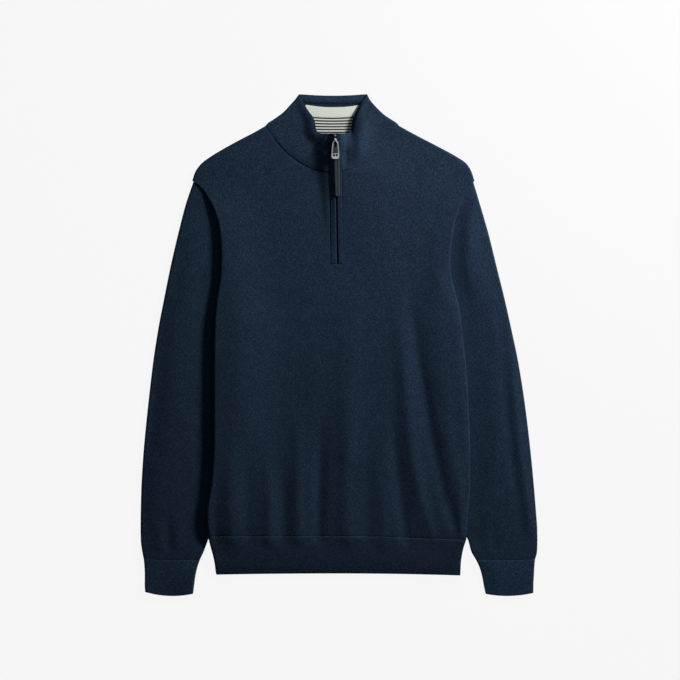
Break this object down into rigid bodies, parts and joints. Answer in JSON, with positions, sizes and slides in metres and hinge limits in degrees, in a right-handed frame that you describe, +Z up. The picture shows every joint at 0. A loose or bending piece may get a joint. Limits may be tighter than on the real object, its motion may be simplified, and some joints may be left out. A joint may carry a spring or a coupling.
{
  "type": "quarter zip sweater",
  "caption": "Fine knit pullover sweater laid flat, with set-in sleeves, a stand collar, a short front zip with a pull tab, ribbed cuffs and a ribbed hem.",
  "frame": {"origin": "middle of the bounding box on the surface that the sweater lies on", "axes": "+X towards the wearer's left sleeve, +Y towards the collar, +Z up from the surface"},
  "size_m": [0.6149, 0.7775, 0.0252],
  "materials": {
    "navy_knit": "fine heathered jersey knit, matte",
    "navy_rib": "fine rib knit, matte",
    "cream_tape": "woven tape, matte",
    "striped_tape": "woven tape in fine navy and cream stripes",
    "zip_tape": "woven tape, matte",
    "zip_teeth": "black coil",
    "gunmetal": "dull nickel plate",
    "strap_leather": "smooth dark leather with raw edges"
  },
  "bodies": {
    "garment": {"front_panel": "navy_knit", "back_panel": "navy_knit", "sleeve_right": "navy_knit", "sleeve_left": "navy_knit", "collar": "navy_knit", "welt_right": "navy_knit", "welt_left": "navy_knit", "hem_band": "navy_rib", "cuff_right": "navy_rib", "cuff_left": "navy_rib", "collar_cream": "cream_tape", "collar_stripes": "striped_tape", "zip_tape": "zip_tape", "zip_teeth": "zip_teeth", "slider": "gunmetal"},
    "pull_tab": {"puller": "gunmetal", "pull_strap": "strap_leather"}
  },
  "joints": [
    {"name": "pull_tab", "type": "hinge", "parent": "garment", "child": "pull_tab", "pos_m": [-0.0055, 0.3165, 0.0227], "axis": [-1, 0, 0], "range_deg": [0, 170]}
  ]
}
